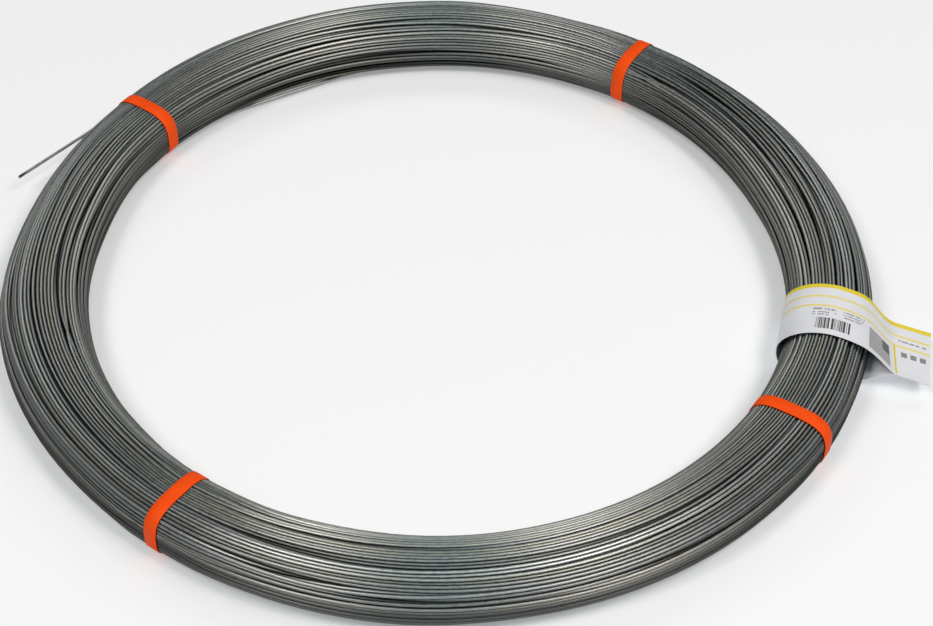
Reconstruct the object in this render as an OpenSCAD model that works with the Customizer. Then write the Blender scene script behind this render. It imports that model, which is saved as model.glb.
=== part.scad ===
// Coil of drawn fence wire: hundreds of turns in one round bundle, tied with four
// flat straps, with a printed label folded round it. Lengths are in millimetres.
// The axis of the coil is +Z and it lies on the plane z = 0.

/* [Wire] */
// Diameter of the wire
wire_d = 1.8; // [1.4:0.1:2.6]
// Gap between neighbouring turns in the outer layer of the bundle
turn_gap = 0.15; // [0.05:0.05:0.4]

/* [Coil] */
// Mean diameter of the coil, through the middle of the bundle
coil_mean_d = 440; // [360:5:600]
// Radial width of the bundle
bundle_w = 47.5; // [38:0.5:60]
// Height of the bundle, from its settled underside to its top
bundle_h = 34.7; // [29:0.1:44]
// How far the round underside has settled flat
settle_depth = 1.3; // [0.7:0.1:2.5]

/* [Outer wire end] */
// Bearing of the point where the straight outer end leaves its circle
tail_bearing = 138.8; // [137.5:0.1:140]
// Height of the outer end above the floor
tail_height = 16.4; // [13:0.1:20]
// Depth of the outer end under the bundle's face where it starts
tail_sink = 3.4; // [2.8:0.1:4]
// Length of the outer end that stands clear of the bundle
tail_free = 62; // [40:1:120]

/* [Loose inner turn] */
// Bearing of the middle of the stretch that bridges the wall like a chord
bridge_bearing = 118.3; // [110:0.1:122]
// Height of this stretch above the floor
bridge_height = 3.6; // [3:0.1:7]
// Distance of its middle from the bundle's inner face
bridge_gap = 5.1; // [3:0.1:7]

/* [Straps] */
// Width of a strap
strap_w = 8; // [6:0.5:12]
// Thickness of a strap
strap_t = 0.5; // [0.4:0.1:1]
// Clearance between a strap and the turns under it
strap_clearance = 0.3; // [0.2:0.05:0.6]
// Bearing of the strap at the rear left
strap_rear_left_bearing = 144.2; // [143:0.1:145]
// Bearing of the strap at the rear right
strap_rear_right_bearing = 56; // [40:0.1:70]
// Bearing of the strap at the front right
strap_front_right_bearing = 326.8; // [315:0.1:332]
// Bearing of the strap at the front left
strap_front_left_bearing = 233.6; // [220:0.1:250]

/* [Label] */
// Width of the label along the wire
label_w = 39; // [30:1:46]
// Thickness of one ply of the label
label_t = 0.3; // [0.2:0.05:0.4]
// Bearing of the label's middle
label_bearing = 347.1; // [345:0.1:354]
// Clearance between the label and the top of the bundle
label_clearance = 0.5; // [0.3:0.1:1.5]
// Room between the label and the inner face of the bundle
label_slack = 1.8; // [1.6:0.1:4]
// Distance from the bundle's outer face to the line where the two plies meet
label_meet = 12.3; // [8:0.1:20]
// Height of this line above the floor
label_meet_height = 15.1; // [10:0.1:20]
// Length of the flag, where the two plies lie on each other
label_flag = 22.6; // [10:0.1:40]
// Angle at which the flag slopes down
label_droop = 12; // [0:1:20]
// Angle at which the upper ply comes down on the lower one
label_meet_angle = 45; // [30:1:55]
// Angle at which the lower ply comes up to the upper one
label_rise_angle = 17; // [5:1:30]
// Angle up the bundle's outer side at which the upper ply lifts off it
label_lift_angle = 72; // [60:1:80]

/* [Hidden] */

// Facets of the round bundle, of a turn in its section and of a straight wire, and
// steps along the bundle's outline and a quarter of the label's loop
coil_facets = 120;
turn_facets = 12;
wire_facets = 24;
outline_steps = 96;
label_steps = 16;

// The straps lie between the floor and the coil, so the coil stands on them.
coil_mean_r = coil_mean_d / 2;
wire_r = wire_d / 2;
round_h = bundle_h + settle_depth;
section_z = strap_t + strap_clearance + round_h / 2 - settle_depth;
bundle_top = section_z + round_h / 2;

// Height of the filling between the turns above the line through their centres
fill_rise_share = 0.3;
fill_rise = fill_rise_share * wire_r;

// Straight part of the label's lower ply under the bundle, as a share of the half width
label_flat_share = 0.45;
// Lengths of the pulls that shape the label's two plies, as shares of the bundle's height
label_lift_pull_share = 0.5;
label_meet_pull_share = 0.55;
label_floor_pull_share = 0.25;
label_rise_pull_share = 0.3;

// Outline of the bundle grown by a margin: an oval with its underside cut off flat.
// The points run from the right end of the flat over the top to its left end.
function outline(grow) =
    let (half_w = bundle_w / 2 + grow)
    let (half_h = round_h / 2 + grow)
    let (dip = asin((half_h - settle_depth) / half_h))
    [for (i = [0 : outline_steps])
        let (t = -dip + i * (180 + 2 * dip) / outline_steps)
        [half_w * cos(t), half_h * sin(t)]];

// Running length along a row of points, one entry for each point
function running_length(points) =
    [for (i = 0, s = 0;
          i < len(points);
          s = s + (i + 1 < len(points) ? norm(points[i + 1] - points[i]) : 0), i = i + 1)
        s];

// Points spread evenly round the closed outline
function spread(grow, count) =
    let (points = outline(grow))
    let (closed = concat(points, [points[0]]))
    let (length_at = running_length(closed))
    let (x_table = [for (i = [0 : len(closed) - 1]) [length_at[i], closed[i].x]])
    let (z_table = [for (i = [0 : len(closed) - 1]) [length_at[i], closed[i].y]])
    let (total = length_at[len(closed) - 1])
    [for (k = [0 : count - 1])
        [lookup(k * total / count, x_table), lookup(k * total / count, z_table)]];

// Turns that show in the outer layer
function outline_length(grow) =
    let (points = outline(grow))
    let (closed = concat(points, [points[0]]))
    running_length(closed)[len(closed) - 1];
turns_shown = floor(outline_length(-wire_r) / (wire_d + turn_gap));

// Half the bundle's width at a height above the floor
function half_width_at(height) =
    bundle_w / 2 * sqrt(1 - pow((height - section_z) / (round_h / 2), 2));

// Point of a cubic curve between two ends with their pulls
function curve_point(a, b, c, d, t) =
    pow(1 - t, 3) * a + 3 * t * pow(1 - t, 2) * b + 3 * t * t * (1 - t) * c + pow(t, 3) * d;

// Section of the bundle: the round turns of its outer layer over a filled middle
module bundle_section() {
    for (centre = spread(-wire_r, turns_shown))
        translate(centre) circle(d = wire_d, $fn = turn_facets);
    polygon(spread(fill_rise - wire_r, turns_shown));
}

// Straight length of wire square to a bearing, between two distances along itself
module straight_wire(bearing, radius, height, from, to) {
    rotate([0, 0, bearing])
        translate([radius, from, height])
            rotate([-90, 0, 0])
                cylinder(d = wire_d, h = to - from, $fn = wire_facets);
}

// The outer end springs off the bundle in a straight line and is cut square.
module tail() {
    face_r = coil_mean_r + half_width_at(tail_height);
    tail_r = face_r - tail_sink;
    leaves_at = sqrt(face_r * face_r - tail_r * tail_r);
    straight_wire(tail_bearing, tail_r, tail_height, 0, leaves_at + tail_free);
}

// One taut inner turn bridges the inner face, with both ends back among the turns.
module bridge() {
    face_r = coil_mean_r - half_width_at(bridge_height);
    bridge_r = face_r - bridge_gap;
    seat_r = face_r + wire_d;
    half_length = sqrt(seat_r * seat_r - bridge_r * bridge_r);
    straight_wire(bridge_bearing, bridge_r, bridge_height, -half_length, half_length);
}

module wire_coil() {
    color("dimgray") {
        rotate_extrude($fn = coil_facets)
            translate([coil_mean_r, section_z]) bundle_section();
        tail();
        bridge();
    }
}

// Stand a section drawn in radius and height across the coil at a bearing.
module across_coil(bearing, width) {
    rotate([0, 0, bearing])
        translate([coil_mean_r, width / 2, 0])
            rotate([90, 0, 0])
                linear_extrude(width) children();
}

// A flat strap pulled tight round the bundle
module strap(bearing) {
    color("orangered")
        across_coil(bearing, strap_w)
            translate([0, section_z]) difference() {
                polygon(outline(strap_clearance + strap_t));
                polygon(outline(strap_clearance));
            }
}

module strap_rear_left() { strap(strap_rear_left_bearing); }
module strap_rear_right() { strap(strap_rear_right_bearing); }
module strap_front_right() { strap(strap_front_right_bearing); }
module strap_front_left() { strap(strap_front_left_bearing); }

// Directions along and square to the label's flag
label_along = [cos(label_droop), -sin(label_droop)];
label_square = [sin(label_droop), cos(label_droop)];
label_meet_point = [bundle_w / 2 + label_meet, label_meet_height];

// Loop of the label from the meeting line, under the bundle, up its inner side, over
// the top and down the outer side. The side is the outer face or, one ply in, the inner.
function label_loop(inset) =
    let (low = inset)
    let (high = bundle_top + label_clearance + label_t - inset)
    let (middle = (low + high) / 2)
    let (half_h = (high - low) / 2)
    let (inner_w = bundle_w / 2 + label_slack + label_t - inset)
    let (outer_w = bundle_w / 2 + label_clearance + label_t - inset)
    let (flat = label_flat_share * bundle_w / 2)
    let (meet_low = label_meet_point - (label_t - inset) * label_square)
    let (meet_high = label_meet_point + (label_t - inset) * label_square)
    let (rise_way = [-cos(label_rise_angle), -sin(label_rise_angle)])
    let (rise_pull = meet_low + label_rise_pull_share * bundle_h * rise_way)
    let (floor_end = [flat, low])
    let (floor_pull = floor_end + [label_floor_pull_share * bundle_h, 0])
    let (lift = [outer_w * cos(label_lift_angle), middle + half_h * sin(label_lift_angle)])
    let (slope = [outer_w * sin(label_lift_angle), -half_h * cos(label_lift_angle)])
    let (lift_pull = lift + label_lift_pull_share * bundle_h * slope / norm(slope))
    let (meet_way = [-cos(label_meet_angle), sin(label_meet_angle)])
    let (meet_pull = meet_high + label_meet_pull_share * bundle_h * meet_way)
    concat(
        [for (i = [1 : label_steps])
            curve_point(meet_low, rise_pull, floor_pull, floor_end, i / label_steps)],
        [for (i = [0 : label_steps])
            let (t = 270 - 90 * i / label_steps)
            [-flat + (inner_w - flat) * cos(t), middle + half_h * sin(t)]],
        [for (i = [1 : label_steps])
            let (t = 180 - 90 * i / label_steps)
            [inner_w * cos(t), middle + half_h * sin(t)]],
        [for (i = [1 : label_steps])
            let (t = 90 - (90 - label_lift_angle) * i / label_steps)
            [outer_w * cos(t), middle + half_h * sin(t)]],
        [for (i = [1 : label_steps])
            curve_point(lift, lift_pull, meet_pull, meet_high, i / label_steps)]
    );

// A printed band folded round the bundle, its two ends glued together as a flat flag
module label() {
    upper = label_meet_point + label_t * label_square;
    lower = label_meet_point - label_t * label_square;
    flag = [upper + label_flag * label_along, lower + label_flag * label_along, lower];
    color("whitesmoke")
        across_coil(label_bearing, label_w)
            difference() {
                polygon(concat(label_loop(0), flag));
                polygon(label_loop(label_t));
            }
}

wire_coil();
strap_rear_left();
strap_rear_right();
strap_front_right();
strap_front_left();
label();
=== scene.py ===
"""Coil of galvanised fence wire with its straps and folded label, in metres, in the part's frame."""

import math

import bpy
import numpy as np
from mathutils import Matrix, Vector


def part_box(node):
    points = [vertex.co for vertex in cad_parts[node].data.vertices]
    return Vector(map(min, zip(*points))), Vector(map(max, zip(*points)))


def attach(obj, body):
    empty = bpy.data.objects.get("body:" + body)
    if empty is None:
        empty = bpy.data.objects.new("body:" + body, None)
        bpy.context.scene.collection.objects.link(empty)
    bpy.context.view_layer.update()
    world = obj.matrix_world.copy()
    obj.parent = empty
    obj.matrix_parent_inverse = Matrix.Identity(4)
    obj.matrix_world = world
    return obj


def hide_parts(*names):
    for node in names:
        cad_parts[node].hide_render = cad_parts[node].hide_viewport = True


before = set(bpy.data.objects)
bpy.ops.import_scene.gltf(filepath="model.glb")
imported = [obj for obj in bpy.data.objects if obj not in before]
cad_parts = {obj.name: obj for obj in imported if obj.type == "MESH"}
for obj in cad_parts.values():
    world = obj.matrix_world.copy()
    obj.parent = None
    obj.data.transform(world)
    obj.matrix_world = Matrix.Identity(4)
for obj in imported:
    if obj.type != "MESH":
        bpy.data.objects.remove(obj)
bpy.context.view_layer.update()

MM = 0.001
TURN = 2 * math.pi

# The wire and its bundle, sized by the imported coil
WIRE_D = 1.8 * MM
WIRE_R = WIRE_D / 2
coil_low, coil_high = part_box("wire_coil")
HALF_W = 23.75 * MM
SETTLE = 1.3 * MM
MEAN_R = coil_high.y - HALF_W
HALF_H = (coil_high.z - coil_low.z + SETTLE) / 2
SECTION_Z = coil_high.z - HALF_H
# Height in the section of the middle of the lowest turns
LOWEST = SETTLE + WIRE_R - HALF_H
# Power of a plain oval, and a value that keeps divisions away from zero
ROUND_POWER = 2
TINY = 1e-9

# Winding: spacing of the turns before they settle, rows tried above and below the middle, points a turn,
# sides of the wire and the pieces it is cut into
LAY_PITCH = 2.04 * MM
MOST_ROWS = 40
STATIONS = 150
WIRE_SIDES = 8
WIRE_PIECES = 5
WINDING_SEED = 4
# How far the turns wander before they settle, and how often in a turn
WANDER = 1.0 * MM
WANDER_CYCLES = 1.5
# Settling: its steps, steps from one search for neighbours to the next, and how far a search looks
SETTLING_STEPS = 90
SEARCH_EVERY = 8
REACH_IN_TURNS = 64
REACH = 1.7 * WIRE_D
# Distance kept between the middles of turns, and share of a push made in a step
TOUCH = 1.01 * WIRE_D
PUSH = 0.45
# Evening out along the wire: its share, and its rounds in a step, on the taut inner turn and in filling out
EVEN = 0.25
EVEN_ROUNDS = 2
TAUT_ROUNDS = 3
FILL_ROUNDS = 4
# Drift outwards in the first steps, which packs the outer turns, and the part of the oval where it acts
DRIFT = 0.018 * MM
DRIFT_FROM = 0.5
DRIFT_STEPS = 65
# Points left off the start, so that the inner end of the wire hides under the strap
HIDDEN_START = 2
# Strip of the layout that a turn takes: its margin and width, and the rounding allowed where it starts
STRIP_MARGIN = 0.05
STRIP_WIDTH = 0.9
ROUNDING = 1e-6

# Bearings in degrees and how far outwards the bundle's two faces lie off a true ring, in millimetres
INNER_FACE = [
    (18, -2.3), (38, 0.0), (56, 3.5), (66, 2.0), (96, -1.0), (131, -1.4), (143, 1.9), (169, -1.4),
    (201, 0.8), (220, 1.2), (232, 3.5), (254, 0.4), (288, 0.1), (312, 1.6), (325, 3.5), (346, 1.7),
]
OUTER_FACE = [
    (15, 0.8), (27, -0.3), (39, -2.1), (54, -5.7), (68, -4.0), (87, 2.4), (94, 1.4), (104, 1.4),
    (129, -1.4), (140, -5.6), (148, -6.4), (155, -4.4), (172, -2.5), (186, 1.3), (192, 2.1), (236, -2.5),
    (244, -0.8), (267, 0.4), (280, -0.4), (306, 0.7), (326, -0.1), (350, 1.1),
]
FACE_BLUR = math.radians(4)
FACE_STEPS = 720

# The straps press the bundle flatter and squarer, and it is rounder and stands higher between them
STRAP_BEARINGS = {
    "strap_rear_left": math.radians(144.2),
    "strap_rear_right": math.radians(56.0),
    "strap_front_right": math.radians(326.8),
    "strap_front_left": math.radians(233.6),
}
PINCH = 1.6 * MM
PINCH_REACH = 30 * MM
PINCH_SQUARE = 1.3

# Range that noise textures mostly keep to, and their detail
NOISE_LOW, NOISE_HIGH = 0.3, 0.7
NOISE_DETAIL = 3.0

# Tones and tints of the zinc along scales from 0 to 1
ZINC_TONES = [(0.25, (0.275, 0.298, 0.298)), (0.6, (0.445, 0.467, 0.469)), (1.0, (0.67, 0.69, 0.69))]
ZINC_TINTS = [(0.0, (0.93, 1.0, 1.02)), (0.5, (1.0, 1.0, 0.96)), (1.0, (1.0, 0.97, 0.84))]
# Mean and spread of both along the wire, and how often they change in a turn
TONE_MEAN, TONE_SPREAD = 0.35, 0.22
TINT_MEAN, TINT_SPREAD = 0.5, 0.17
TONE_CYCLES = 0.25
# Fine mottle of the zinc and its share in the tone, least and greatest roughness, and tint of its shine
MOTTLE_SCALE = 420.0
MOTTLE_SHARE = 0.5
ZINC_SMOOTH, ZINC_ROUGH = 0.37, 0.49
ZINC_SHINE = (0.38, 0.38, 0.38)
# Fine scratches along the drawn wire spread its shine round it, not along it
DRAWN = 0.75
DRAWN_TURN = 0.25

# Painted shade, of this colour, lies where turns nearly touch: distance of their middles where it starts,
# and how far round it reaches
SHADE_COLOUR = (0.012, 0.0125, 0.0125)
CREVICE_END = 2.5 * MM
CREVICE_COSINE = 0.55
# Painted shade also lies on the turns below the bundle's face: heights over the middle of the outermost
# turns where it starts and where it is thick
SHADE_TOP = 0.42 * MM
SHADE_BOTTOM = -1.0 * MM
# The lower turns are darker, most of all outside: how light they stay near the floor at the inner and the
# outer face, and the heights between which this changes
LOW_LIGHTNESS = (0.32, 0.22)
LOW_FROM = 16 * MM
LOW_TO = 34 * MM
# The coil's colour is darker at the rear: share of its lightness lost there
REAR_DARKENING = 0.2

# The straight outer end of the wire, and the inner turn that spans the wall like a chord
TAIL_BEARING = math.radians(138.8)
TAIL_HEIGHT = 16.4 * MM
TAIL_R = 240.2 * MM
TAIL_LENGTH = 103 * MM
TAIL_EASE = 0.3
TAIL_POINTS = 12
BRIDGE_BEARING = math.radians(118.3)
BRIDGE_HEIGHT = 3.6 * MM
BRIDGE_R = 199.8 * MM
BRIDGE_HALF_ANGLE = math.radians(18)
BRIDGE_LIGHTNESS = 0.8

# Straps: their size, softened edges and steps, and their colours and finish
STRAP_W = 8 * MM
STRAP_T = 0.5 * MM
STRAP_EDGE = 0.15 * MM
STRAP_STEPS = 160
STRAP_ROUNDS = 3
# Distance of a strap's middle from the turns under it, and points round a turn that hold it off
STRAP_LIFT = STRAP_T * 0.6
RIM_POINTS = 12
ORANGE_DARK, ORANGE_LIGHT = (0.82, 0.070, 0.003), (0.90, 0.083, 0.005)
STRAP_CLOUD = 90.0
STRAP_ROUGHNESS = 0.6
STRAP_SHINE = 0.1

# Label: its place and width, and its plies' line in its own plane, from the middle of the bundle
LABEL_BEARING = math.radians(347.1)
LABEL_YAW = math.radians(-0.8)
LABEL_W = 39 * MM
LABEL_T = 0.24 * MM
LABEL_LOW = 0.2 * MM
LABEL_TOP = 36.1 * MM
LABEL_INNER = 25.3 * MM
LABEL_OUTER = 22.7 * MM
LABEL_FLAT = 10 * MM
LABEL_LIFT = math.radians(75.8)
LABEL_LIFT_PULL = 18 * MM
LABEL_MEET = np.array([36.0, 15.1]) * MM
LABEL_MEET_ANGLE = math.radians(45.5)
LABEL_MEET_PULL = 19.4 * MM
LABEL_RISE_ANGLE = math.radians(17)
LABEL_RISE_PULL = 10 * MM
LABEL_FLOOR_PULL = 8 * MM
LABEL_END = np.array([58.1, 10.9]) * MM
# The plies were glued a little askew: slant of their meeting line and of the flag's end in plan, and the
# rise of both to the rear
CREASE_SKEW = math.tan(math.radians(9.2))
END_SKEW = math.tan(math.radians(3.1))
CREASE_RISE = 0.037
END_RISE = 0.033
# The upper ply bends softly into the flag: points that bend on each side, rounds of easing and the share of
# it made in a round, and how much of that is left at the front edge
BEND_POINTS = 7
BEND_ROUNDS = 14
BEND_SHARE = 0.5
BEND_FRONT = 0.3
# Distance of a ply's middle from the middle of the flag
PLY_OFFSET = LABEL_T * 0.55
LABEL_STEPS = 24
TOP_STEPS = 8
LABEL_COLUMNS = 12
SHARP_ANGLE = math.radians(40)

# The label's layout for its finish: outer face, inner face, the two long edges and the ends, as shares of
# the square
OUTSIDE_STRIP = (0.02, 0.46)
INSIDE_STRIP = (0.50, 0.92)
REAR_EDGE_STRIP = (0.935, 0.95)
FRONT_EDGE_STRIP = (0.96, 0.975)
END_STRIP = (0.985, 0.995)

# The label's print in millimetres: from the flag's end along it, then from its rear edge across it
PAPER_DARK, PAPER_LIGHT = (0.66, 0.69, 0.735), (0.715, 0.745, 0.79)
PAPER_CLOUD = 60.0
PAPER_ROUGHNESS = 0.42
STRONG_YELLOW = (0.72, 0.585, 0.02)
PALE_YELLOW = (0.75, 0.645, 0.21)
PALE_LINES = [(8.9, 10.4), (16.4, 17.9)]
CREASE_STRIPE = (20.2, 21.5, 17.5, 38.0)
GREY_PANEL = (25.0, 42.0, 21.0, 36.0)
DARK_PANEL = (25.0, 31.0, 21.0, 28.0)
GREY_SQUARES = [(2.5, 6.0, 21.0, 24.5), (8.0, 11.5, 21.0, 24.5), (13.5, 17.0, 21.0, 24.5)]
DASH_ROWS = [
    (2.5, 18.0, 12.4, 13.6),
    (45.5, 58.0, 19.0, 20.0), (45.5, 58.0, 21.0, 22.0), (47.5, 58.0, 23.0, 24.0),
    (62.0, 75.0, 19.2, 20.6), (62.0, 75.0, 22.0, 22.9), (66.0, 75.0, 23.8, 24.7),
]
BAR_FIELD = (51.0, 73.0, 26.5, 35.0)
YELLOW_EDGE = (-1, 2.9)
PANEL_GREY = (0.34, 0.34, 0.36)
PANEL_DARK = (0.10, 0.10, 0.11)
SQUARE_GREY = (0.22, 0.22, 0.23)
DASH_GREY = (0.30, 0.30, 0.32)
BAR_BLACK = (0.05, 0.05, 0.055)
# Steps along the dashes and the bars, share of the steps inked, and seeds that pick them
DASH_STEP = 0.7
DASH_INKED = 0.7
DASH_SEEDS = 50.0
BAR_STEP = 0.33
BAR_INKED = 0.5
BAR_SEED = 7.0

# The white floor: half its size, its colour, and the light that it gives by itself
FLOOR_SIZE = 30.0
FLOOR_COLOUR = (0.62, 0.643, 0.66)
FLOOR_GLOW = 0.28
# Even light of the room, and the colours of the lamps
ROOM_LIGHT = 0.10
ROOM_COLOUR = (0.93, 1.0, 1.0)
WARM_LIGHT = (1.0, 0.92, 0.88)
COOL_LIGHT = (0.55, 1.0, 1.1)
# Square lamps that look at the coil: name, bearing and elevation in degrees, power in watts, colour
LAMP_DISTANCE = 2.6
LAMP_SIZE = 0.73
LAMPS = [
    ("right", 313, 58, 28.5, WARM_LIGHT),
    ("left", 227, 58, 25, WARM_LIGHT),
    ("front", 271, 54, 4.8, COOL_LIGHT),
    ("far_right", 343, 58, 8, WARM_LIGHT),
    ("behind", 90, 45, 0.9, COOL_LIGHT),
    ("behind_left", 122, 45, 5.9, WARM_LIGHT),
    ("behind_right", 58, 45, 5.9, WARM_LIGHT),
]

# Camera, found from the coil's two outlines
CAMERA_ELEVATION = math.radians(43.742)
CAMERA_DISTANCE = 1178.9 * MM
CAMERA_PAN = math.radians(0.797)
CAMERA_TILT = math.radians(-1.163)
CAMERA_ROLL = math.radians(0.894)
FOCAL_PIXELS = 2077.7
IMAGE_WIDTH = 933
SENSOR_WIDTH = 36


def turn_places():
    """Places of the turns in the section, in the order of winding: in columns from the inside out."""
    half_w = HALF_W - WIRE_R
    half_h = HALF_H - WIRE_R
    column_step = LAY_PITCH * math.sqrt(3) / 2
    columns = int(half_w / column_step)
    places = []
    for column in range(-columns, columns + 1):
        u = column * column_step
        top = half_h * math.sqrt(1 - (u / half_w) ** 2)
        bottom = max(-top, SETTLE - half_h)
        odd = column % 2
        heights = (np.arange(-MOST_ROWS, MOST_ROWS + 1) + odd / 2) * LAY_PITCH
        rows = [w for w in heights if bottom <= w <= top]
        places += [(u, w) for w in (reversed(rows) if odd else rows)]
    return np.array(places)


def apart(bearing, other):
    """Angle from one bearing to another, the short way round."""
    return (bearing - other + math.pi) % TURN - math.pi


def face_offset(bearing, places):
    """A face's distance off a true ring at each bearing, smoothed between the chosen places."""
    fine = np.arange(FACE_STEPS) / FACE_STEPS * TURN
    degrees, offsets = np.array(places, float).T
    rough = np.interp(np.degrees(fine), degrees, offsets * MM, period=360)
    weight = np.exp(-(apart(bearing[:, None], fine) / FACE_BLUR) ** 2)
    return weight @ rough / weight.sum(1)


def section_shape(bearing):
    """The bundle's shift outwards, half sizes to the middle of its outermost turns, and its oval's power."""
    straps = np.array(list(STRAP_BEARINGS.values()))
    off_strap = np.abs(apart(bearing[:, None], straps)).min(1) * MEAN_R
    pinch = np.exp(-(off_strap / PINCH_REACH) ** 2)
    inner, outer = face_offset(bearing, INNER_FACE), face_offset(bearing, OUTER_FACE)
    half_w = HALF_W - WIRE_R + (outer - inner) / 2
    half_h = HALF_H - WIRE_R - PINCH * pinch
    return (inner + outer) / 2, half_w, half_h, ROUND_POWER + PINCH_SQUARE * pinch


def reach_in_oval(path, shape):
    """Each place's distance from the middle of its oval, 1 on the oval itself."""
    shift, half_w, half_h, power = shape
    u, w = np.abs(path[:, :, 0] - shift) / half_w, np.abs(path[:, :, 1]) / half_h
    return (u ** power + w ** power) ** (1 / power)


def slow_noise(rng, points, columns, cycles):
    """Smooth noise along the wire with a spread of 1, its waves mostly longer than a turn over cycles."""
    noise = rng.normal(size=(points, columns))
    rate = np.fft.rfftfreq(points, 1 / STATIONS)
    kept = np.fft.rfft(noise, axis=0) * np.exp(-(rate / cycles) ** 2)[:, None]
    noise = np.fft.irfft(kept, points, axis=0)
    return noise / noise.std()


def smooth(share):
    """A share from 0 to 1 that starts and ends gently."""
    return share * share * (3 - 2 * share)


def neighbours(path):
    """Pairs of turns that lie close to each other, with the station where they do."""
    first, second, where = [], [], []
    for step in range(1, REACH_IN_TURNS):
        gap = ((path[step:] - path[:-step]) ** 2).sum(2)
        turn, station = np.nonzero(gap < REACH ** 2)
        first.append(turn)
        second.append(turn + step)
        where.append(station)
    return np.concatenate(first), np.concatenate(second), np.concatenate(where)


def tail_place(bearing):
    """Place in the section of the straight outer end at each bearing that it passes."""
    off = apart(bearing, TAIL_BEARING)
    return np.column_stack([TAIL_R / np.cos(off) - MEAN_R, np.full(len(off), TAIL_HEIGHT - SECTION_Z)])


def make_room(path, stations, line):
    """Push every turn but the last off a line that passes them at some stations."""
    off_line = path[:-1, stations] - line
    gap = np.linalg.norm(off_line, axis=2, keepdims=True) + TINY
    path[:-1, stations] += off_line * np.clip(TOUCH - gap, 0, None) / gap


def fill_out(path, shape):
    """Spread the settled turns out to the bundle's two faces and its top, and square it at the straps."""
    shift, half_w, half_h, power = shape
    reached = np.array([path[:-1, :, 0].min(0), path[:-1, :, 0].max(0), path[:-1, :, 1].max(0)])
    for _ in range(FILL_ROUNDS):
        reached = (np.roll(reached, 1, 1) + 2 * reached + np.roll(reached, -1, 1)) / 4
    inner, outer, top = reached
    path[:, :, 0] = shift - half_w + (path[:, :, 0] - inner) * 2 * half_w / (outer - inner)
    path[:, :, 1] = LOWEST + (path[:, :, 1] - LOWEST) * (half_h - LOWEST) / (top - LOWEST)
    plain_reach = reach_in_oval(path, (shift, half_w, half_h, ROUND_POWER))
    grow = (plain_reach + TINY) / (reach_in_oval(path, shape) + TINY)
    path[:, :, 0] = shift + (path[:, :, 0] - shift) * grow
    path[:, :, 1] = np.where(path[:, :, 1] > 0, path[:, :, 1] * grow, path[:, :, 1])


def wind_wire():
    """Bearings of the stations, and the settled place in the section of each turn at each station."""
    rng = np.random.default_rng(WINDING_SEED)
    places = turn_places()
    turns = len(places)
    points = turns * STATIONS
    share = (np.arange(STATIONS) / STATIONS)[None, :, None]
    following = np.vstack([places[1:], places[-1:]])
    path = places[:, None] * (1 - share) + following[:, None] * share
    path += WANDER * slow_noise(rng, points, 2, WANDER_CYCLES).reshape(path.shape)

    bearing = TAIL_BEARING + np.arange(STATIONS) / STATIONS * TURN
    shape = section_shape(bearing)
    shift, half_w, half_h, _ = shape
    round_shape = (shift, half_w, half_h, ROUND_POWER)

    # The last turn eases out to the straight end, and the others make room for that end.
    ease = np.clip((share[0, :, 0] - 1 + TAIL_EASE) / TAIL_EASE, 0, 1)
    ease = smooth(ease)[:, None]
    tail_start = np.array([TAIL_R - MEAN_R, TAIL_HEIGHT - SECTION_Z])
    beside_tail = np.nonzero(apart(bearing, TAIL_BEARING) * MEAN_R < TAIL_LENGTH)[0]
    beside_tail = beside_tail[apart(bearing[beside_tail], TAIL_BEARING) >= 0]
    tail_line = tail_place(bearing[beside_tail])

    for step in range(SETTLING_STEPS):
        if step % SEARCH_EVERY == 0:
            first, second, where = neighbours(path)
            one = first * STATIONS + where
            other = second * STATIONS + where
        line = path.reshape(points, 2)
        between = line[one] - line[other]
        gap = np.linalg.norm(between, axis=1) + TINY
        push = between * (PUSH * np.clip(TOUCH - gap, 0, None) / gap)[:, None]
        for axis in range(2):
            line[:, axis] += np.bincount(one, push[:, axis], points)
            line[:, axis] -= np.bincount(other, push[:, axis], points)
        for _ in range(EVEN_ROUNDS):
            line[1:-1] += EVEN * (line[:-2] + line[2:] - 2 * line[1:-1])
        make_room(path, beside_tail, tail_line)
        reach = reach_in_oval(path, round_shape)
        if step < DRIFT_STEPS:
            off_middle = np.stack([path[:, :, 0] - shift, path[:, :, 1]], 2)
            away = np.linalg.norm(off_middle, axis=2, keepdims=True) + TINY
            path += DRIFT * (reach > DRIFT_FROM)[:, :, None] * off_middle / away
        beyond = np.maximum(reach_in_oval(path, round_shape), 1)
        path[:, :, 0] = shift + (path[:, :, 0] - shift) / beyond
        path[:, :, 1] /= beyond
        path[:, :, 1] = np.maximum(path[:, :, 1], LOWEST)
        path[-1] += (tail_start - path[-1]) * ease

    fill_out(path, shape)
    make_room(path, beside_tail, tail_line)
    path[-1] += (tail_start - path[-1]) * ease
    return bearing, path


def span_inner_wall(bearing, path):
    """Pull a low inner turn straight like a chord, its ends among the others; which turn, and where."""
    wall = MEAN_R - HALF_W * math.sqrt(1 - ((BRIDGE_HEIGHT - SECTION_Z) / HALF_H) ** 2)
    aim = np.array([wall + WIRE_R - MEAN_R, BRIDGE_HEIGHT - SECTION_Z])
    off = apart(bearing, BRIDGE_BEARING)
    near = np.nonzero(np.abs(off) < BRIDGE_HALF_ANGLE)[0]
    turn = np.argmin(np.linalg.norm(path[:, near].mean(1) - aim, axis=1))
    chord = BRIDGE_R / np.cos(off[near]) - MEAN_R
    ease = np.cos(off[near] / BRIDGE_HALF_ANGLE * math.pi / 2) ** 0.5
    strand = path[turn, near]
    strand[:, 0] = np.minimum(strand[:, 0], chord)
    strand[:, 1] += (BRIDGE_HEIGHT - SECTION_Z - strand[:, 1]) * ease
    for _ in range(TAUT_ROUNDS):
        strand[1:-1] += EVEN * (strand[:-2] + strand[2:] - 2 * strand[1:-1])
    path[turn, near] = strand
    return turn, near


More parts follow.
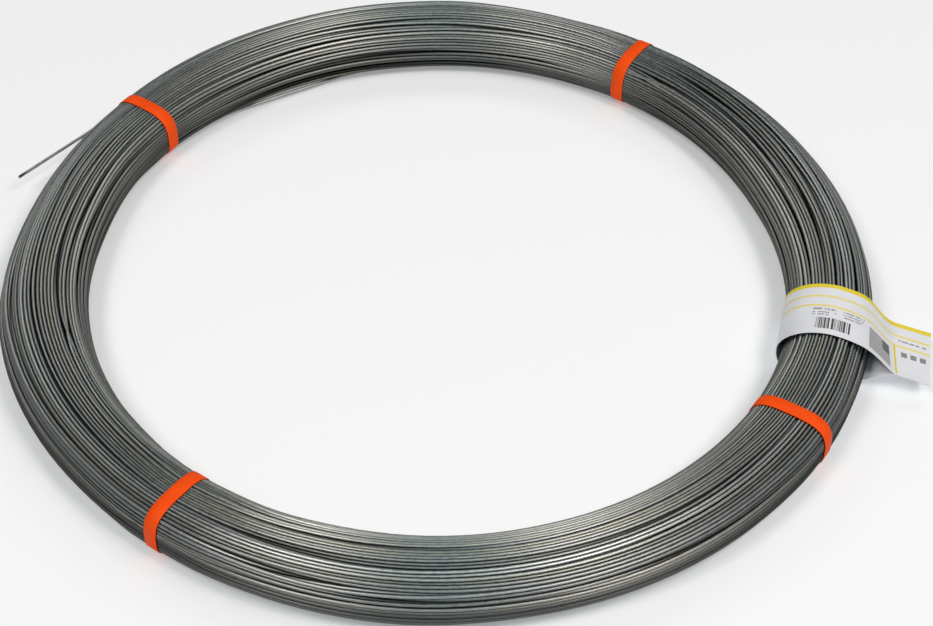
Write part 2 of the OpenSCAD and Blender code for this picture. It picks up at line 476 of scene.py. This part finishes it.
def crevices(path):
    """How much each corner of the wire's rings faces a turn close by, from 0 to 1, where the crevice's
    painted shade lies.
    """
    first, second, where = neighbours(path)
    between = path[second, where] - path[first, where]
    near = np.clip((CREVICE_END - np.linalg.norm(between, axis=1)) / (CREVICE_END - WIRE_D), 0, 1)
    towards = np.arctan2(between[:, 1], between[:, 0])
    angle = np.arange(WIRE_SIDES) / WIRE_SIDES * TURN
    found = np.zeros((len(path) * STATIONS, WIRE_SIDES))
    for turn, way in ((first, towards), (second, towards + math.pi)):
        facing = (np.cos(angle - way[:, None]) - CREVICE_COSINE) / (1 - CREVICE_COSINE)
        np.maximum.at(found, turn * STATIONS + where, np.clip(facing, 0, 1) * near[:, None])
    return found


def painted_shade_lightness(bearing, path):
    """How light each corner of the wire's rings stays: 1 on the bundle's face, 0 in the painted shade down
    between the turns; lower near the floor and at the rear.
    """
    shape = section_shape(bearing)
    shift, half_w, half_h, power = shape
    reach = reach_in_oval(path, shape)
    u, w = (path[:, :, 0] - shift) / half_w, path[:, :, 1] / half_h
    sides = ((u, half_w), (w, half_h))
    slope = np.stack([np.sign(s) * np.abs(s) ** (power - 1) / half for s, half in sides], 2)
    slope /= reach[:, :, None] ** (power - 1)[None, :, None] + TINY
    steep = np.linalg.norm(slope, axis=2) + TINY
    depth = ((1 - reach) / steep).reshape(-1, 1)
    outward = (slope / steep[:, :, None]).reshape(-1, 2)
    angle = np.arange(WIRE_SIDES) / WIRE_SIDES * TURN
    height = WIRE_R * outward @ np.array([np.cos(angle), np.sin(angle)]) - depth
    # Painted shade on the turns that lie further in than the bundle's face
    share = np.clip((height - SHADE_BOTTOM) / (SHADE_TOP - SHADE_BOTTOM), 0, 1)
    # Darker towards the floor, most of all on the outer face
    rise = SECTION_Z + path[:, :, 1].reshape(-1, 1) + WIRE_R * np.sin(angle)
    above = np.clip((rise - LOW_FROM) / (LOW_TO - LOW_FROM), 0, 1)
    lowest = np.interp(u.reshape(-1, 1), (-1, 1), LOW_LIGHTNESS)
    # Darker at the rear
    rear_lightness = np.tile(1 - REAR_DARKENING * np.clip(np.sin(bearing), 0, 1) ** 2, len(path))[:, None]
    # Painted shade in the crevices, with the darkening near the floor and at the rear
    return smooth(share) * (1 - crevices(path)) * (lowest + (1 - lowest) * above) * rear_lightness


def centreline(bearing, path):
    """The wire's line in space from its inner end to the cut outer end."""
    bearings = np.tile(bearing, len(path))
    u, w = path.reshape(-1, 2).T
    radius = MEAN_R + u
    line = np.column_stack([radius * np.cos(bearings), radius * np.sin(bearings), SECTION_Z + w])
    radial = np.column_stack([np.cos(bearings), np.sin(bearings), np.zeros(len(bearings))])
    foot = np.array([math.cos(TAIL_BEARING), math.sin(TAIL_BEARING), 0])
    onward = np.array([-foot[1], foot[0], 0])
    start = foot * TAIL_R + [0, 0, TAIL_HEIGHT]
    steps = np.linspace(0, TAIL_LENGTH, TAIL_POINTS)[:, None]
    line = np.vstack([line, start + onward * steps])
    radial = np.vstack([radial, np.tile(foot, (len(steps), 1))])
    return line, radial


def tube_mesh(name, line, radial, along, turns, capped):
    """A round tube along a line, with one strip of the layout for each turn."""
    count = len(line)
    angle = np.arange(WIRE_SIDES) / WIRE_SIDES * TURN
    rings = (line[:, None]
             + WIRE_R * np.cos(angle)[None, :, None] * radial[:, None]
             + WIRE_R * np.sin(angle)[None, :, None] * np.array([0, 0, 1.0]))
    ring, side = np.meshgrid(np.arange(count - 1), np.arange(WIRE_SIDES), indexing="ij")
    ring, side = ring.ravel(), side.ravel()
    beside = (side + 1) % WIRE_SIDES
    corners = np.column_stack([
        ring * WIRE_SIDES + side,
        ring * WIRE_SIDES + beside,
        (ring + 1) * WIRE_SIDES + beside,
        (ring + 1) * WIRE_SIDES + side,
    ])
    faces = corners.tolist()
    if capped[0]:
        faces.append(list(range(WIRE_SIDES)))
    if capped[1]:
        faces.append([count * WIRE_SIDES - 1 - i for i in range(WIRE_SIDES)])
    mesh = bpy.data.meshes.new(name)
    mesh.from_pydata(rings.reshape(-1, 3), [], faces)
    mesh.shade_smooth()

    strip = np.minimum(np.floor(along[ring] + ROUNDING), turns - 1)
    start = along[ring] - strip
    end = along[ring + 1] - strip
    u = np.column_stack([start, start, end, end])
    low = (strip + STRIP_MARGIN + STRIP_WIDTH * side / WIRE_SIDES) / turns
    high = (strip + STRIP_MARGIN + STRIP_WIDTH * (side + 1) / WIRE_SIDES) / turns
    v = np.column_stack([low, high, high, low])
    layout = mesh.uv_layers.new(name="OFBake")
    flat = np.zeros((len(mesh.loops), 2), np.float32)
    flat[:4 * len(ring), 0] = u.ravel()
    flat[:4 * len(ring), 1] = v.ravel()
    layout.data.foreach_set("uv", flat.ravel())
    return mesh


def place(mesh, material, node):
    """A piece of the object from its mesh: it stands for a CAD node and rides on the one body."""
    piece = bpy.data.objects.new(mesh.name, mesh)
    bpy.context.scene.collection.objects.link(piece)
    mesh.materials.append(material)
    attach(piece, "root")
    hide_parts(node)
    return piece


def make(tree, kind, inputs=None, **settings):
    """A shader node with its settings, its inputs set to values or linked to other nodes' outputs."""
    made = tree.nodes.new(kind)
    for name, value in settings.items():
        setattr(made, name, value)
    for socket, value in (inputs or {}).items():
        if isinstance(value, bpy.types.NodeSocket):
            tree.links.new(value, made.inputs[socket])
        else:
            made.inputs[socket].default_value = value
    return made


def new_material(name):
    """An empty material with its principled shader."""
    material = bpy.data.materials.new(name)
    material.use_nodes = True
    tree = material.node_tree
    return material, tree, tree.nodes["Principled BSDF"]


def ramp(tree, factor, stops):
    """A colour ramp between stops of place and colour."""
    made = make(tree, "ShaderNodeValToRGB", {"Fac": factor})
    elements = made.color_ramp.elements
    while len(elements) < len(stops):
        elements.new(0.5)
    for element, (where, colour) in zip(elements, stops):
        element.position = where
        element.color = (*colour, 1)
    return made.outputs["Color"]


def wire_material():
    """Dull zinc on drawn wire: tone and tint drift along it, with fine mottle, and painted shade in the
    crevices and on the turns further in.
    """
    material, tree, shader = new_material("zinc_wire")
    tone = make(tree, "ShaderNodeAttribute", attribute_name="tone").outputs["Fac"]
    tint = make(tree, "ShaderNodeAttribute", attribute_name="tint").outputs["Fac"]
    lightness = make(tree, "ShaderNodeAttribute", attribute_name="lightness").outputs["Fac"]
    place_in = make(tree, "ShaderNodeTexCoord").outputs["Object"]
    mottle = make(tree, "ShaderNodeTexNoise", {
        "Vector": place_in, "Scale": MOTTLE_SCALE, "Detail": NOISE_DETAIL,
    }).outputs["Fac"]
    mixed = make(tree, "ShaderNodeMath", {0: mottle, 1: MOTTLE_SHARE, 2: tone},
                 operation="MULTIPLY_ADD").outputs[0]
    colour = ramp(tree, mixed, ZINC_TONES)
    tints = ramp(tree, tint, ZINC_TINTS)
    colour = make(tree, "ShaderNodeMix", {0: 1.0, 6: colour, 7: tints}, data_type="RGBA",
                  blend_type="MULTIPLY").outputs[2]
    # Painted shade: the zinc fades to a near-black colour in the crevices and on the turns further in, and
    # it is darker near the floor and at the rear
    colour = make(tree, "ShaderNodeMix", {0: lightness, 6: (*SHADE_COLOUR, 1), 7: colour},
                  data_type="RGBA").outputs[2]
    tree.links.new(colour, shader.inputs["Base Color"])
    dull = make(tree, "ShaderNodeMapRange", {
        "Value": mottle, "From Min": NOISE_LOW, "From Max": NOISE_HIGH,
        "To Min": ZINC_SMOOTH, "To Max": ZINC_ROUGH,
    })
    tree.links.new(dull.outputs["Result"], shader.inputs["Roughness"])
    shader.inputs["Metallic"].default_value = 1.0
    shader.inputs["Specular Tint"].default_value = (*ZINC_SHINE, 1)
    lengthwise = make(tree, "ShaderNodeTangent", direction_type="UV_MAP", uv_map="OFBake")
    tree.links.new(lengthwise.outputs["Tangent"], shader.inputs["Tangent"])
    shader.inputs["Anisotropic"].default_value = DRAWN
    shader.inputs["Anisotropic Rotation"].default_value = DRAWN_TURN
    return material


def strap_material():
    """Orange plastic strapping, satin, its colour faintly cloudy."""
    material, tree, shader = new_material("orange_strap")
    place_in = make(tree, "ShaderNodeTexCoord").outputs["Object"]
    cloud = make(tree, "ShaderNodeTexNoise", {
        "Vector": place_in, "Scale": STRAP_CLOUD, "Detail": NOISE_DETAIL,
    }).outputs["Fac"]
    colour = ramp(tree, cloud, [(NOISE_LOW, ORANGE_DARK), (NOISE_HIGH, ORANGE_LIGHT)])
    tree.links.new(colour, shader.inputs["Base Color"])
    shader.inputs["Roughness"].default_value = STRAP_ROUGHNESS
    shader.inputs["Specular IOR Level"].default_value = STRAP_SHINE
    return material


def within(tree, value, low, high):
    """1 where a value lies between two limits."""
    return make(tree, "ShaderNodeMath", {0: value, 1: (low + high) / 2, 2: (high - low) / 2},
                operation="COMPARE").outputs[0]


def product(tree, *factors):
    """The product of several values."""
    result = factors[0]
    for factor in factors[1:]:
        result = make(tree, "ShaderNodeMath", {0: result, 1: factor}, operation="MULTIPLY").outputs[0]
    return result


def chance(tree, value, step, seed, share):
    """1 on a share of the steps along a value, picked at random."""
    snapped = make(tree, "ShaderNodeMath", {0: value, 1: step}, operation="SNAP").outputs[0]
    moved = make(tree, "ShaderNodeMath", {0: snapped, 1: seed}, operation="ADD").outputs[0]
    drawn = make(tree, "ShaderNodeTexWhiteNoise", {"W": moved}, noise_dimensions="1D").outputs["Value"]
    return make(tree, "ShaderNodeMath", {0: drawn, 1: share}, operation="LESS_THAN").outputs[0]


def paint(tree, base, mask, colour):
    """A colour laid over another where a mask is 1."""
    mix = make(tree, "ShaderNodeMix", {0: mask, 6: base, 7: (*colour, 1)}, data_type="RGBA")
    return mix.outputs[2]


def label_material(length):
    """White coated paper, printed with plain stripes, bars, rows of dashes and grey fields."""
    material, tree, shader = new_material("label_paper")
    layout = make(tree, "ShaderNodeUVMap", uv_map="OFBake").outputs["UV"]
    split = make(tree, "ShaderNodeSeparateXYZ", {0: layout})
    along = product(tree, split.outputs["X"], length / MM)
    across = make(tree, "ShaderNodeMapRange", {
        "Value": split.outputs["Y"], "From Min": OUTSIDE_STRIP[0], "From Max": OUTSIDE_STRIP[1],
        "To Min": 0.0, "To Max": LABEL_W / MM,
    }, clamp=False).outputs["Result"]
    outside = within(tree, split.outputs["Y"], 0, OUTSIDE_STRIP[1])

    def field(left, right, rear, front):
        lengthwise = within(tree, along, left, right)
        sideways = within(tree, across, rear, front)
        return product(tree, lengthwise, sideways, outside)

    place_in = make(tree, "ShaderNodeTexCoord").outputs["Object"]
    cloud = make(tree, "ShaderNodeTexNoise", {
        "Vector": place_in, "Scale": PAPER_CLOUD, "Detail": NOISE_DETAIL,
    }).outputs["Fac"]
    colour = ramp(tree, cloud, [(NOISE_LOW, PAPER_DARK), (NOISE_HIGH, PAPER_LIGHT)])
    printed = length / MM / 2
    colour = paint(tree, colour, field(0, printed, *YELLOW_EDGE), STRONG_YELLOW)
    for rear, front in PALE_LINES:
        colour = paint(tree, colour, field(0, printed, rear, front), PALE_YELLOW)
    colour = paint(tree, colour, field(*CREASE_STRIPE), STRONG_YELLOW)
    colour = paint(tree, colour, field(*GREY_PANEL), PANEL_GREY)
    colour = paint(tree, colour, field(*DARK_PANEL), PANEL_DARK)
    for square in GREY_SQUARES:
        colour = paint(tree, colour, field(*square), SQUARE_GREY)
    for number, row in enumerate(DASH_ROWS):
        inked = chance(tree, along, DASH_STEP, DASH_SEEDS * number, DASH_INKED)
        colour = paint(tree, colour, product(tree, field(*row), inked), DASH_GREY)
    inked = chance(tree, along, BAR_STEP, BAR_SEED, BAR_INKED)
    colour = paint(tree, colour, product(tree, field(*BAR_FIELD), inked), BAR_BLACK)
    tree.links.new(colour, shader.inputs["Base Color"])
    shader.inputs["Roughness"].default_value = PAPER_ROUGHNESS
    return material


def make_wire(material):
    """The whole wire, in pieces of so many turns each."""
    bearing, path = wind_wire()
    spanning, spanned = span_inner_wall(bearing, path)
    line, radial = centreline(bearing, path)
    turns = len(path)
    rng = np.random.default_rng(WINDING_SEED + 1)
    drift = slow_noise(rng, len(line), 2, TONE_CYCLES)
    marks = {
        "tone": np.repeat(TONE_MEAN + TONE_SPREAD * drift[:, 0], WIRE_SIDES).reshape(-1, WIRE_SIDES),
        "tint": np.repeat(TINT_MEAN + TINT_SPREAD * drift[:, 1], WIRE_SIDES).reshape(-1, WIRE_SIDES),
        "lightness": np.ones((len(line), WIRE_SIDES)),
    }
    marks["lightness"][:turns * STATIONS] = painted_shade_lightness(bearing, path)
    # The chord turn stands clear of the others, so most of the painted shade is lifted off it
    loose = spanning * STATIONS + spanned
    marks["lightness"][loose] = np.maximum(marks["lightness"][loose], BRIDGE_LIGHTNESS)
    cuts = np.linspace(0, turns, WIRE_PIECES + 1).astype(int)
    for number in range(WIRE_PIECES):
        first, last = cuts[number], cuts[number + 1]
        begin = first * STATIONS if number else HIDDEN_START
        end = last * STATIONS + 1 if number < WIRE_PIECES - 1 else len(line)
        along = (np.arange(begin, end) - first * STATIONS) / STATIONS
        capped = (number == 0, number == WIRE_PIECES - 1)
        piece = slice(begin, end)
        mesh = tube_mesh(f"wire_{number + 1}", line[piece], radial[piece], along, last - first, capped)
        for name, values in marks.items():
            shade = mesh.attributes.new(name, "FLOAT", "POINT")
            shade.data.foreach_set("value", values[piece].astype(np.float32).ravel())
        place(mesh, material, "wire_coil")
    return bearing, path


def hull(points):
    """Corners of the tight loop round points of a plane, in order."""
    ordered = sorted(map(tuple, points))

    def chain(row):
        kept = []
        for p in row:
            while len(kept) > 1:
                (ax, ay), (bx, by) = kept[-2], kept[-1]
                if (bx - ax) * (p[1] - ay) - (by - ay) * (p[0] - ax) > 0:
                    break
                kept.pop()
            kept.append(p)
        return kept[:-1]

    return np.array(chain(ordered) + chain(ordered[::-1]))


def strap_loop(bearing, path, strap_bearing):
    """The strap's line in the section: pulled tight over the turns beneath it, flat on the floor."""
    nearest = np.argsort(np.abs(apart(bearing, strap_bearing)))[:2]
    under = path[:, nearest].reshape(-1, 2)
    if 0 < apart(strap_bearing, TAIL_BEARING) * MEAN_R < TAIL_LENGTH:
        under = np.vstack([under, tail_place(np.array([strap_bearing]))])
    corner = np.arange(RIM_POINTS) / RIM_POINTS * TURN
    rim = WIRE_R + STRAP_LIFT
    around = np.column_stack([np.cos(corner), np.sin(corner)]) * rim
    loop = hull((under[:, None] + around).reshape(-1, 2))
    closed = np.vstack([loop, loop[:1]])
    length = np.concatenate([[0], np.cumsum(np.linalg.norm(np.diff(closed, axis=0), axis=1))])
    even = np.linspace(0, length[-1], STRAP_STEPS, endpoint=False)
    loop = np.column_stack([np.interp(even, length, closed[:, i]) for i in range(2)])
    for _ in range(STRAP_ROUNDS):
        loop = (np.roll(loop, 1, 0) + 2 * loop + np.roll(loop, -1, 0)) / 4
    loop[:, 1] = np.maximum(loop[:, 1], STRAP_T / 2 - SECTION_Z)
    return loop


def make_strap(name, bearing, path, material):
    """A flat strap with softened edges along its loop."""
    strap_bearing = STRAP_BEARINGS[name]
    loop = strap_loop(bearing, path, strap_bearing)
    ahead = np.roll(loop, -1, 0) - np.roll(loop, 1, 0)
    ahead /= np.linalg.norm(ahead, axis=1)[:, None]
    outward = np.column_stack([ahead[:, 1], -ahead[:, 0]])
    edge = STRAP_EDGE
    half = STRAP_W / 2
    thick = STRAP_T / 2
    across = np.array([-half, -half + edge, 0, half - edge, half,
                       half, half - edge, 0, -half + edge, -half])
    lift = np.array([thick - edge, thick, thick, thick, thick - edge,
                     edge - thick, -thick, -thick, -thick, edge - thick])
    sides = len(across)
    radial = np.array([math.cos(strap_bearing), math.sin(strap_bearing), 0])
    sideways = np.array([-radial[1], radial[0], 0])
    section = loop[:, None] + outward[:, None] * lift[None, :, None]
    verts = (radial * (MEAN_R + section[:, :, :1])
             + sideways * across[None, :, None]
             + np.array([0, 0, 1.0]) * (SECTION_Z + section[:, :, 1:]))
    steps = len(loop)
    faces = []
    for i in range(steps):
        for j in range(sides):
            here, there = i * sides, (i + 1) % steps * sides
            beside = (j + 1) % sides
            faces.append((here + j, there + j, there + beside, here + beside))
    mesh = bpy.data.meshes.new(name + "_band")
    mesh.from_pydata(verts.reshape(-1, 3), [], faces)
    mesh.shade_smooth()
    place(mesh, material, name)


def cubic(start, start_pull, end_pull, end, steps):
    """Points of a curve between two ends with their pulls, without its first point."""
    t = np.linspace(0, 1, steps + 1)[1:, None]
    return ((1 - t) ** 3 * start + 3 * t * (1 - t) ** 2 * start_pull
            + 3 * t * t * (1 - t) * end_pull + t ** 3 * end)


def label_line(across):
    """The paper's line at a distance across the label, from the flag's end over the top and back to it."""
    meet = LABEL_MEET + across * np.array([-CREASE_SKEW, CREASE_RISE])
    end = LABEL_END + across * np.array([-END_SKEW, END_RISE])
    flag = (end - meet) / np.linalg.norm(end - meet)
    ply = PLY_OFFSET * np.array([-flag[1], flag[0]])
    middle, half_h = (LABEL_TOP + LABEL_LOW) / 2, (LABEL_TOP - LABEL_LOW) / 2
    lift = np.array([LABEL_OUTER * math.cos(LABEL_LIFT), middle + half_h * math.sin(LABEL_LIFT)])
    slope = np.array([LABEL_OUTER * math.sin(LABEL_LIFT), -half_h * math.cos(LABEL_LIFT)])
    slope /= np.linalg.norm(slope)
    meet_way = np.array([-math.cos(LABEL_MEET_ANGLE), math.sin(LABEL_MEET_ANGLE)])
    rise_way = np.array([-math.cos(LABEL_RISE_ANGLE), -math.sin(LABEL_RISE_ANGLE)])
    floor_end = np.array([LABEL_FLAT, LABEL_LOW])
    meet_pull = meet + ply + LABEL_MEET_PULL * meet_way
    lift_pull = lift + LABEL_LIFT_PULL * slope
    floor_pull = floor_end + [LABEL_FLOOR_PULL, 0]
    rise_pull = meet - ply + LABEL_RISE_PULL * rise_way
    fold = np.linspace(0, 1, LABEL_STEPS + 1)[1:, None]
    top = np.linspace(LABEL_LIFT, math.pi / 2, TOP_STEPS + 1)[1:]
    inner = np.linspace(math.pi / 2, math.pi, LABEL_STEPS + 1)[1:]
    under = np.linspace(math.pi, 1.5 * math.pi, LABEL_STEPS + 1)[1:]
    bottom_w = LABEL_INNER - LABEL_FLAT
    line = np.vstack([
        (end + ply)[None],
        end + ply + (meet - end) * fold,
        cubic(meet + ply, meet_pull, lift_pull, lift, LABEL_STEPS),
        np.column_stack([LABEL_OUTER * np.cos(top), middle + half_h * np.sin(top)]),
        np.column_stack([LABEL_INNER * np.cos(inner), middle + half_h * np.sin(inner)]),
        np.column_stack([-LABEL_FLAT + bottom_w * np.cos(under), middle + half_h * np.sin(under)]),
        floor_end[None],
        cubic(floor_end, floor_pull, rise_pull, meet - ply, LABEL_STEPS),
        meet - ply + (end - meet) * fold,
    ])
    soft = BEND_SHARE * (BEND_FRONT + (1 - BEND_FRONT) * (0.5 + across / LABEL_W))
    low, high = LABEL_STEPS - BEND_POINTS, LABEL_STEPS + BEND_POINTS + 1
    for _ in range(BEND_ROUNDS):
        line[low:high] += soft * ((line[low - 1:high - 1] + line[low + 1:high + 1]) / 2 - line[low:high])
    return line


def make_label():
    """The printed band folded round the bundle, its two ends glued together as a flag in the air."""
    across = np.linspace(LABEL_W / 2, -LABEL_W / 2, LABEL_COLUMNS + 1)
    lines = np.array([label_line(a) for a in across]).transpose(1, 0, 2)
    ahead = np.gradient(lines, axis=0)
    ahead /= np.linalg.norm(ahead, axis=2, keepdims=True)
    outward = np.stack([-ahead[:, :, 1], ahead[:, :, 0]], 2)
    outward *= -1 if outward[len(lines) // 2, 0, 0] > 0 else 1
    steps = np.linalg.norm(np.diff(lines[:, LABEL_COLUMNS // 2], axis=0), axis=1)
    run = np.concatenate([[0], np.cumsum(steps)])
    length = run[-1]

    turned = LABEL_BEARING + LABEL_YAW
    centre = MEAN_R * np.array([math.cos(LABEL_BEARING), math.sin(LABEL_BEARING), 0])
    lengthwise = np.array([math.cos(turned), math.sin(turned), 0])
    sideways = np.array([-lengthwise[1], lengthwise[0], 0])
    faces_of_sheet = []
    for side in (0.5, -0.5):
        section = lines + side * LABEL_T * outward
        faces_of_sheet.append(centre + section[:, :, :1] * lengthwise + across[None, :, None] * sideways
                              + section[:, :, 1:] * np.array([0, 0, 1.0]))
    verts = np.concatenate([f.reshape(-1, 3) for f in faces_of_sheet])

    rows, columns = lines.shape[:2]
    back = rows * columns
    share = run / length
    faces, layout = [], []

    def add(corners, left, right, low, high, flip):
        marks = [(left, low), (right, low), (right, high), (left, high)]
        faces.append(corners[::-1] if flip else corners)
        layout.extend(marks[::-1] if flip else marks)

    for r in range(rows - 1):
        for c in range(LABEL_COLUMNS):
            a, b = r * columns + c, (r + 1) * columns + c
            for first, strip, flip in ((0, OUTSIDE_STRIP, False), (back, INSIDE_STRIP, True)):
                corners = [first + a, first + b, first + b + 1, first + a + 1]
                low = strip[0] + (strip[1] - strip[0]) * (c / LABEL_COLUMNS)
                high = strip[0] + (strip[1] - strip[0]) * ((c + 1) / LABEL_COLUMNS)
                add(corners, share[r], share[r + 1], low, high, flip)
        for c, strip, flip in ((0, REAR_EDGE_STRIP, True), (LABEL_COLUMNS, FRONT_EDGE_STRIP, False)):
            a, b = r * columns + c, (r + 1) * columns + c
            add([a, b, back + b, back + a], share[r], share[r + 1], *strip, flip)
    for r, begin, flip in ((0, 0.0, False), (rows - 1, 0.5, True)):
        for c in range(LABEL_COLUMNS):
            a = r * columns + c
            left = begin + 0.5 * c / LABEL_COLUMNS
            right = begin + 0.5 * (c + 1) / LABEL_COLUMNS
            add([a, a + 1, back + a + 1, back + a], left, right, *END_STRIP, flip)

    mesh = bpy.data.meshes.new("label_sheet")
    mesh.from_pydata(verts, [], faces)
    mesh.uv_layers.new(name="OFBake").data.foreach_set("uv", np.array(layout, np.float32).ravel())
    mesh.shade_smooth()
    mesh.set_sharp_from_angle(angle=SHARP_ANGLE)
    sheet = place(mesh, label_material(length), "label")


def make_floor():
    """A plain white floor that keeps the soft shadow."""
    mesh = bpy.data.meshes.new("floor")
    size = FLOOR_SIZE
    corners = [(-size, -size, 0), (size, -size, 0), (size, size, 0), (-size, size, 0)]
    mesh.from_pydata(corners, [], [(0, 1, 2, 3)])
    floor = bpy.data.objects.new("floor", mesh)
    bpy.context.scene.collection.objects.link(floor)
    material = bpy.data.materials.new("white_floor")
    material.use_nodes = True
    tree = material.node_tree
    tree.nodes.clear()
    paper = make(tree, "ShaderNodeBsdfDiffuse", {"Color": (*FLOOR_COLOUR, 1)})
    glow = make(tree, "ShaderNodeEmission", {"Color": (1, 1, 1, 1), "Strength": FLOOR_GLOW})
    mixed = make(tree, "ShaderNodeAddShader", {0: paper.outputs[0], 1: glow.outputs[0]})
    out = make(tree, "ShaderNodeOutputMaterial")
    tree.links.new(mixed.outputs[0], out.inputs["Surface"])
    mesh.materials.append(material)


def make_camera():
    """The photograph's view."""
    away = Vector((0, -math.cos(CAMERA_ELEVATION), math.sin(CAMERA_ELEVATION)))
    forward = -away
    right = Vector((1, 0, 0))
    up = right.cross(forward)
    aim = (forward + math.tan(CAMERA_PAN) * right + math.tan(CAMERA_TILT) * up).normalized()
    level = aim.cross(Vector((0, 0, 1))).normalized()
    above = level.cross(aim)
    side = math.cos(CAMERA_ROLL) * level + math.sin(CAMERA_ROLL) * above
    top = -math.sin(CAMERA_ROLL) * level + math.cos(CAMERA_ROLL) * above
    data = bpy.data.cameras.new("camera")
    data.sensor_width = SENSOR_WIDTH
    data.lens = data.sensor_width * FOCAL_PIXELS / IMAGE_WIDTH
    camera = bpy.data.objects.new("camera", data)
    turn = Matrix((side, top, -aim)).transposed().to_4x4()
    camera.matrix_world = Matrix.Translation(away * CAMERA_DISTANCE + Vector((0, 0, SECTION_Z))) @ turn
    bpy.context.scene.collection.objects.link(camera)
    bpy.context.scene.camera = camera


def area_light(name, bearing, elevation, power, colour):
    """A square soft light that looks at the coil."""
    data = bpy.data.lights.new(name, "AREA")
    data.size = LAMP_SIZE
    data.color = colour
    data.energy = power
    lamp = bpy.data.objects.new(name, data)
    a, e = math.radians(bearing), math.radians(elevation)
    towards = Vector((math.cos(e) * math.cos(a), math.cos(e) * math.sin(a), math.sin(e)))
    lamp.location = LAMP_DISTANCE * towards
    lamp.rotation_euler = (-lamp.location).to_track_quat("-Z", "Y").to_euler()
    bpy.context.scene.collection.objects.link(lamp)


def light_scene():
    """Two soft lights beside the camera, weaker ones in front, at the right and behind, in a dim room."""
    for lamp in LAMPS:
        area_light(*lamp)
    world = bpy.data.worlds.new("room")
    bpy.context.scene.world = world
    world.use_nodes = True
    background = world.node_tree.nodes["Background"]
    background.inputs["Color"].default_value = (*ROOM_COLOUR, 1)
    background.inputs["Strength"].default_value = ROOM_LIGHT


bpy.context.scene.view_settings.view_transform = "Standard"
make_camera()
light_scene()
make_floor()
wire_bearing, wire_path = make_wire(wire_material())
orange = strap_material()
for strap_name in STRAP_BEARINGS:
    make_strap(strap_name, wire_bearing, wire_path, orange)
make_label()
